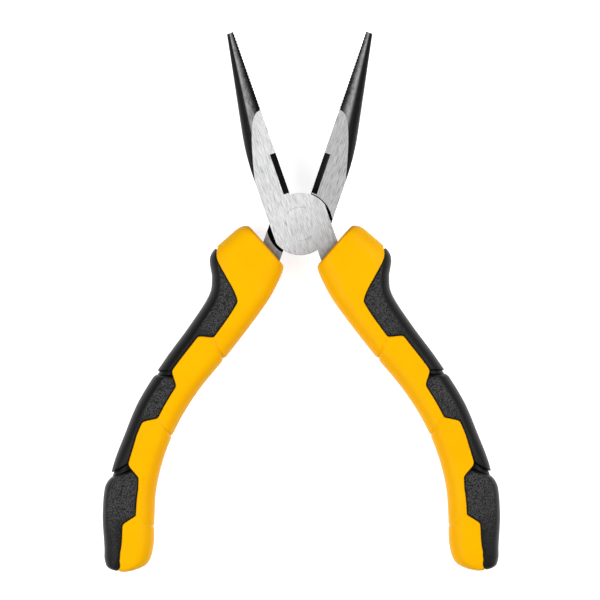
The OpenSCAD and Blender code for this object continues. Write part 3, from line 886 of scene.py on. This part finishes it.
# Painted highlight along the crown of each half's nose, in place of the lamps' reflection: share of the way
# from the gripping face to the outer side, and its strength
NOSE_PAINTED_HIGHLIGHT = {
    "front": (
        (0.0, 0.01), (0.14, 0.012), (0.2, 0.05), (0.28, 0.18), (0.36, 0.48), (0.46, 0.75), (0.54, 1.0),
        (0.595, 0.95), (0.62, 0.6), (0.655, 0.04), (1.0, 0.01)),
    "rear": (
        (0.0, 0.03), (0.12, 0.045), (0.19, 0.14), (0.26, 0.36), (0.33, 0.68), (0.41, 0.92), (0.47, 0.95),
        (0.515, 0.72), (0.555, 0.38), (0.6, 0.1), (0.66, 0.02), (1.0, 0.005)),
}
NOSE_PAINTED_HIGHLIGHT_RAGGED = 0.1
NOSE_START = (10.0, 14.0)

# Black oxide: its mottle, tints, how much mottle stays on the painted highlight, gloss, and relief
MOTTLE_SIZE = (0.0005, 0.0012, 0.0005)
OXIDE_TINTS = ((0.35, 0.5), (0.7, 2.5))
SPECKLE = (0.3, 0.6, 0.6, 0.0)
OXIDE_SPECULAR, OXIDE_ROUGHNESS = 0.05, (0.36, 0.5)
OXIDE_BUMP = (0.00004, 0.4)


def black_oxide(name, settings, angle, painted_highlight):
    """Black oxide coat of a forging, mottled, with a painted grey highlight along the crown of the nose."""
    material, tree, shader = new_material(name)
    dark, grey = tuple(settings.oxide_colour), tuple(settings.painted_highlight_colour)
    mottle = noise(tree, object_coordinates(tree, MOTTLE_SIZE, angle), 4.0, 0.65)
    x, y = turned_millimetres(tree, angle)
    # Painted highlight: a grey band painted across the crown of the nose, with ragged edges
    nose_w = math_node(tree, "MULTIPLY_ADD", y, -JAW_TAPER, JAW_TIP + JAW_TAPER * JAW_LENGTH)
    share = math_node(tree, "ABSOLUTE", math_node(tree, "DIVIDE", x, nose_w))
    ragged = math_node(tree, "MULTIPLY_ADD", mottle, NOSE_PAINTED_HIGHLIGHT_RAGGED, share)
    crown = ramp(tree, ragged, tints(grey, [(at + NOSE_PAINTED_HIGHLIGHT_RAGGED / 2, level) for at, level in painted_highlight]))
    scaled = ramp(tree, mottle, tints(dark, OXIDE_TINTS))
    speckled = mix_colour(tree, map_range(tree, mottle, *SPECKLE), crown, scaled)
    on_nose = map_range(tree, y, *NOSE_START, 0.0, 1.0)
    nose_highlighted = mix_colour(tree, on_nose, scaled, speckled)
    dress(tree, shader, nose_highlighted, mottle, OXIDE_ROUGHNESS, mottle, OXIDE_BUMP)
    shader.inputs["Specular IOR Level"].default_value = OXIDE_SPECULAR
    return material


# Yellow plastic: tints of the painted shade round its mouth's rim and of its clouds, sizes of its clouds and
# skin, gloss, and relief
PAINTED_SHADE_TINT, CLOUD_TINT = (0.75, 0.55, 1.0), (1.0, 0.94, 1.0)
CLOUD_SIZE, SKIN_SIZE = (0.011,) * 3, (0.00035,) * 3
YELLOW_SPECULAR, YELLOW_ROUGHNESS = 0.045, (0.38, 0.46)
YELLOW_BUMP = (0.00001, 0.5)


def yellow_plastic(settings):
    """Hard moulded plastic: even colour, with painted shade in a deeper orange round the rim of the mouth,
    satin skin with faint waves.
    """
    material, tree, shader = new_material("grip_yellow_plastic")
    colour = tuple(settings.yellow)
    cloud = noise(tree, object_coordinates(tree, CLOUD_SIZE))
    skin = noise(tree, object_coordinates(tree, SKIN_SIZE), 2.0)
    deep, painted_shade_colour = (
        tuple(c * share for c, share in zip(colour, shares)) + (1,) for shares in (CLOUD_TINT, PAINTED_SHADE_TINT))
    # Painted shade: a deeper orange round the rim of the mouth
    marked = add_node(tree, "ShaderNodeAttribute", {}, attribute_name="painted_mouth_shade").outputs["Fac"]
    body = ramp(tree, cloud, ((0.35, deep), (0.65, colour)))
    mouth_shaded = mix_colour(tree, marked, body, painted_shade_colour)
    dress(tree, shader, mouth_shaded, skin, YELLOW_ROUGHNESS, skin, YELLOW_BUMP)
    shader.inputs["Specular IOR Level"].default_value = YELLOW_SPECULAR
    return material


# Black rubber: how much finer its skin is than its grain, its tints, gloss on flanks and grain, and relief
SKIN_FINENESS, RUBBER_TINTS = 3, ((0.3, 0.7), (0.7, 1.5))
RUBBER_SPECULAR, RUBBER_ROUGHNESS = 0.1, (0.42, 0.62)
RUBBER_BUMP = (0.00002, 0.4)


def black_rubber(settings):
    """Soft black pad: grained on its flats, whose grey grain tops are partly the grain's own colour and
    partly painted light, smooth and darker on its flanks.
    """
    material, tree, shader = new_material("grip_black_rubber")
    colour, grey = tuple(settings.pad_black), tuple(settings.grain_grey_and_painted_light)
    marked = add_node(tree, "ShaderNodeAttribute", {}, attribute_name="grain").outputs["Fac"]
    size = settings.grain_size
    speck = noise(tree, object_coordinates(tree, (size,) * 3), GRAIN_DETAIL)
    fine = noise(tree, object_coordinates(tree, (size / SKIN_FINENESS,) * 3), 2.0)
    # Grey grain tops: partly the grain's own colour, partly painted light
    grained = ramp(tree, speck, ((GRAIN_SPREAD[0], colour), (GRAIN_SPREAD[1], grey)))
    smooth = ramp(tree, fine, tints(colour, RUBBER_TINTS))
    mixed = mix_colour(tree, marked, smooth, grained)
    dress(tree, shader, mixed, marked, RUBBER_ROUGHNESS, fine, RUBBER_BUMP, (0, 1))
    shader.inputs["Specular IOR Level"].default_value = RUBBER_SPECULAR
    return material


# Pieces

RIVET_REACH = 5.0 * MM

# A face is flush with the joint when it lies within a tolerance of its level and its normal is this upright
LEVEL_TOLERANCE, FLUSH_NORMAL = 2e-5, 0.98

# Angles of edges that are broken, of flats that are joined, and of edges that stay sharp in the shading
BREAK_ANGLE, FLAT_ANGLE, STEEL_SHARP_ANGLE = math.radians(28), math.radians(0.05), math.radians(35)
STEEL_WELD_DISTANCE = 1e-6


def broken_edges(work, wanted, width):
    """Rounds the sharp edges of a mesh that pass a test."""
    sharp = [
        e for e in work.edges
        if e.is_manifold and e.calc_face_angle() > BREAK_ANGLE and wanted(e)]
    bmesh.ops.bevel(
        work, geom=sharp, offset=width, offset_type="OFFSET", segments=2, profile=0.5,
        affect="EDGES", clamp_overlap=True)


def by_rivet(edge):
    return all(v.co.xy.length < RIVET_REACH for v in edge.verts)


def steel_piece(node, name, body, materials, settings):
    """A copy of a CAD node with its flats dissolved, its edges broken and its ground faces told apart."""
    mesh = frame["nodes"][node].data.copy()
    mesh.name = name
    mesh.materials.clear()
    for material in materials:
        mesh.materials.append(material)
    work = bmesh.new()
    work.from_mesh(mesh)
    bmesh.ops.remove_doubles(work, verts=work.verts, dist=STEEL_WELD_DISTANCE)
    bmesh.ops.dissolve_limit(work, angle_limit=FLAT_ANGLE, verts=work.verts, edges=work.edges)
    broken_edges(work, by_rivet, settings.rivet_edge)
    broken_edges(work, lambda edge: not by_rivet(edge), settings.edge_round)
    bmesh.ops.triangulate(work, faces=[f for f in work.faces if len(f.verts) > 4])
    rounded = []
    for face in work.faces:
        centre = face.calc_center_median()
        level = min(abs(centre.z - JOINT_THICKNESS), abs(centre.z)) < LEVEL_TOLERANCE
        flush = level and abs(face.normal.z) > FLUSH_NORMAL
        ground = flush or centre.xy.length < RIVET_REACH
        face.material_index = 0 if ground else len(materials) - 1
        rounded.append(not flush)
    work.to_mesh(mesh)
    work.free()
    for layer in ("custom_normal", "sharp_edge"):
        if layer in mesh.attributes:
            mesh.attributes.remove(mesh.attributes[layer])
    mesh.set_sharp_from_angle(angle=STEEL_SHARP_ANGLE)
    mesh.polygons.foreach_set("use_smooth", rounded)
    obj = add_object(name, mesh)
    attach(obj, body)
    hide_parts(node)
    return obj


def seen_rays(tree, gloss):
    """1 for camera and transmission rays, which see the background, and a level for glossy rays."""
    path = tree.nodes.new("ShaderNodeLightPath")
    seen = math_node(tree, "MULTIPLY", path.outputs["Is Glossy Ray"], gloss)
    seen = math_node(tree, "MAXIMUM", seen, path.outputs["Is Camera Ray"])
    return math_node(tree, "MAXIMUM", seen, path.outputs["Is Transmission Ray"])


def make_world(settings):
    world = bpy.data.worlds.new("studio")
    world.use_nodes = True
    tree = world.node_tree
    background = tree.nodes["Background"]
    background.inputs["Color"].default_value = (1, 1, 1, 1)
    level = math_node(tree, "MAXIMUM", seen_rays(tree, settings.room_gloss), settings.room_light)
    tree.links.new(level, background.inputs["Strength"])
    bpy.context.scene.world = world


FLOOR_HALF, FLOOR_GLOW = 3.0, 0.8


def make_floor(settings):
    mesh = bpy.data.meshes.new("floor")
    corners = [
        (x * FLOOR_HALF, y * FLOOR_HALF, CAD_BOX[0].z) for x, y in ((-1, -1), (1, -1), (1, 1), (-1, 1))]
    mesh.from_pydata(corners, [], [(0, 1, 2, 3)])
    floor = add_object("floor", mesh)
    material, tree = empty_material("white_floor")
    matte = add_node(tree, "ShaderNodeBsdfDiffuse", {"Color": settings.floor_colour})
    level = math_node(tree, "MULTIPLY", seen_rays(tree, 1.0), FLOOR_GLOW)
    glow = add_node(tree, "ShaderNodeEmission", {"Strength": level})
    both = add_node(tree, "ShaderNodeAddShader", {0: matte.outputs["BSDF"], 1: glow.outputs["Emission"]})
    add_node(tree, "ShaderNodeOutputMaterial", {"Surface": both.outputs["Shader"]})
    mesh.materials.append(material)


# Lamps: name, azimuth, and the angles from the zenith between which the lamp stands, in degrees
LAMPS = (("lamp_left", 199, 27, 65), ("lamp_right", 19, 27, 65))


def make_lamps(settings):
    for name, azimuth, high, low in LAMPS:
        turn, tilt = math.radians(azimuth), math.radians((high + low) / 2)
        light = bpy.data.lights.new(name, "AREA")
        light.shape = "RECTANGLE"
        light.size = settings.lamp_length
        light.size_y = 2 * settings.lamp_distance * math.tan(math.radians(low - high) / 2)
        light.energy = settings.lamp_level * math.pi * light.size * light.size_y
        lamp = add_object(name, light)
        place = Matrix.Rotation(turn + math.pi / 2, 4, "Z") @ Matrix.Rotation(tilt, 4, "X")
        lamp.matrix_world = place @ Matrix.Translation((0, 0, settings.lamp_distance))


CLIP_START, CLIP_END = 0.01, 20.0


def make_camera(settings):
    data = bpy.data.cameras.new("camera")
    data.lens = data.sensor_width * settings.camera_height / settings.view_width
    data.clip_start, data.clip_end = CLIP_START, CLIP_END
    camera = add_object("camera", data)
    x, y = settings.view_centre
    camera.location = (x, y, JOINT_THICKNESS / 2 + settings.camera_height)
    camera.rotation_euler = (0, 0, settings.view_roll)
    bpy.context.scene.camera = camera


class PLIERS_OT_stage(bpy.types.Operator):
    """Makes the floor, the lamps and the camera above the tool"""

    bl_idname = "pliers.stage"
    bl_label = "Stage"

    def execute(self, context):
        scene = context.scene
        scene.view_settings.view_transform = "Standard"
        for make in (make_world, make_floor, make_lamps, make_camera):
            make(scene.pliers_stage)
        return {"FINISHED"}


class PLIERS_OT_steel(bpy.types.Operator):
    """Makes the two forged halves and the rivet from the CAD frame"""

    bl_idname = "pliers.steel"
    bl_label = "Halves and Rivet"

    def execute(self, context):
        settings = context.scene.pliers_steel
        for body, angle, side in (("front", OPEN_HALF_ANGLE, 1), ("rear", -OPEN_HALF_ANGLE, -1)):
            ground = ground_steel(body + "_ground_steel", settings, angle, side)
            oxide = black_oxide(body + "_black_oxide", settings, angle, NOSE_PAINTED_HIGHLIGHT[body])
            half = steel_piece(body + "_half", body + "_half_steel", body, (ground, oxide), settings)
        ground = bpy.data.materials["front_ground_steel"]
        rivet = steel_piece("pivot_rivet", "pivot_rivet_steel", "front", (ground,), settings)
        return {"FINISHED"}


class PLIERS_OT_sleeves(bpy.types.Operator):
    """Makes the yellow sleeve of each grip"""

    bl_idname = "pliers.sleeves"
    bl_label = "Grip Sleeves"

    def execute(self, context):
        settings = context.scene.pliers_grips
        plastic = yellow_plastic(settings)
        points, faces, painted_mouth_shade = sleeve_mesh(settings)
        for side, body, place in SIDES:
            sleeve = mesh_object(side + "_sleeve", points, faces, place, "painted_mouth_shade", painted_mouth_shade)
            sleeve.data.materials.append(plastic)
            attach(sleeve, body)
            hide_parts(side + "_grip_sleeve")
        return {"FINISHED"}


class PLIERS_OT_pads(bpy.types.Operator):
    """Makes the three soft black pads of each grip"""

    bl_idname = "pliers.pads"
    bl_label = "Grip Pads"

    def execute(self, context):
        settings = context.scene.pliers_grips
        tree = grain_tree()
        values = {
            "Grain Height": settings.grain_height,
            "Grain Size": settings.grain_size,
            "Material": black_rubber(settings),
        }
        for index, row in enumerate(PADS):
            points, faces, grain = pad_mesh(index, settings)
            for side, body, place in SIDES:
                pad = mesh_object(side + "_soft_" + row[0], points, faces, place, "grain", grain)
                apply_tree(pad, tree, values)
                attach(pad, body)
                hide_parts(side + "_" + row[0])
        return {"FINISHED"}


class PLIERS_PT_panel(bpy.types.Panel):
    """Lists the pieces of the pliers and their settings"""

    bl_idname = "PLIERS_PT_panel"
    bl_label = "Needle Nose Pliers"
    bl_space_type = "VIEW_3D"
    bl_region_type = "UI"
    bl_category = "Pliers"

    def draw(self, context):
        for operator in OPERATORS:
            self.layout.operator(operator.bl_idname)
        for name, group in SETTINGS:
            box = self.layout.box()
            for key in group.__annotations__:
                box.prop(getattr(context.scene, name), key)


OPERATORS = (PLIERS_OT_stage, PLIERS_OT_steel, PLIERS_OT_sleeves, PLIERS_OT_pads)
CLASSES = tuple(group for name, group in SETTINGS) + OPERATORS + (PLIERS_PT_panel,)


def register():
    for cls in CLASSES:
        bpy.utils.register_class(cls)
    for name, group in SETTINGS:
        setattr(bpy.types.Scene, name, PointerProperty(type=group))


def unregister():
    for name, group in SETTINGS:
        delattr(bpy.types.Scene, name)
    for cls in reversed(CLASSES):
        bpy.utils.unregister_class(cls)


def main():
    register()
    bpy.ops.pliers.stage()
    bpy.ops.pliers.steel()
    bpy.ops.pliers.sleeves()
    bpy.ops.pliers.pads()


if __name__ == "__main__":
    main()
